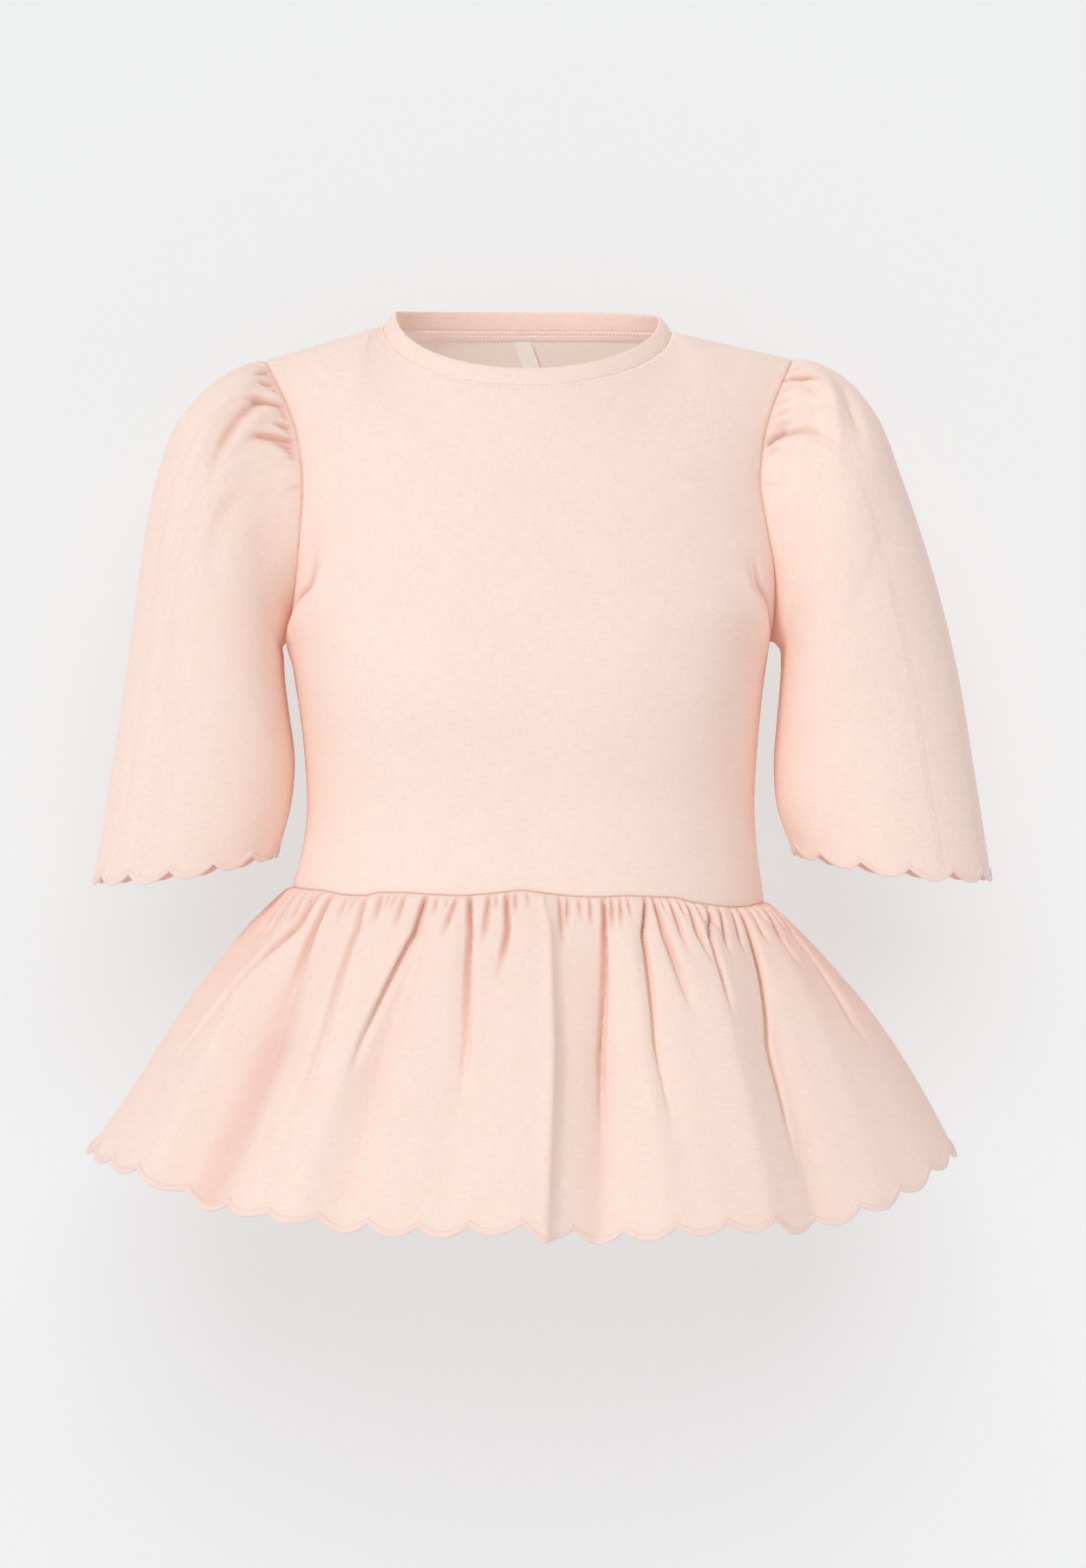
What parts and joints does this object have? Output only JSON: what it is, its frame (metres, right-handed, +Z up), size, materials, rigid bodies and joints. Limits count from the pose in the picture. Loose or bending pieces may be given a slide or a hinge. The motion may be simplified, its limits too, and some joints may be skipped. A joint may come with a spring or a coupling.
{
  "type": "peplum top",
  "caption": "Short-sleeved peplum top: close jersey bodice with a round neckband, gathered puff half sleeves and a gathered, scalloped peplum, filled out as if worn.",
  "frame": {"origin": "midway between the high points of the two shoulder seams at the neck, where the wearer carries the top", "axes": "+Z up, the front of the top faces -Y, the wearer's right sleeve is at -X and the left at +X"},
  "size_m": [0.5908, 0.33, 0.604],
  "materials": {
    "jersey": "fine cotton jersey, matt, pale peach pink",
    "woven_cotton": "light woven cotton, matt, pale peach pink, slightly pinker satin-stitched scallop edges",
    "label": "woven label tape, pale grey, bare"
  },
  "bodies": {
    "root": {"bodice_front": "jersey", "bodice_back": "jersey", "neckband": "jersey", "neck_tape": "jersey", "neck_label": "label", "sleeve_right": "woven_cotton", "sleeve_left": "woven_cotton", "peplum_front": "woven_cotton", "peplum_back": "woven_cotton"}
  },
  "joints": []
}
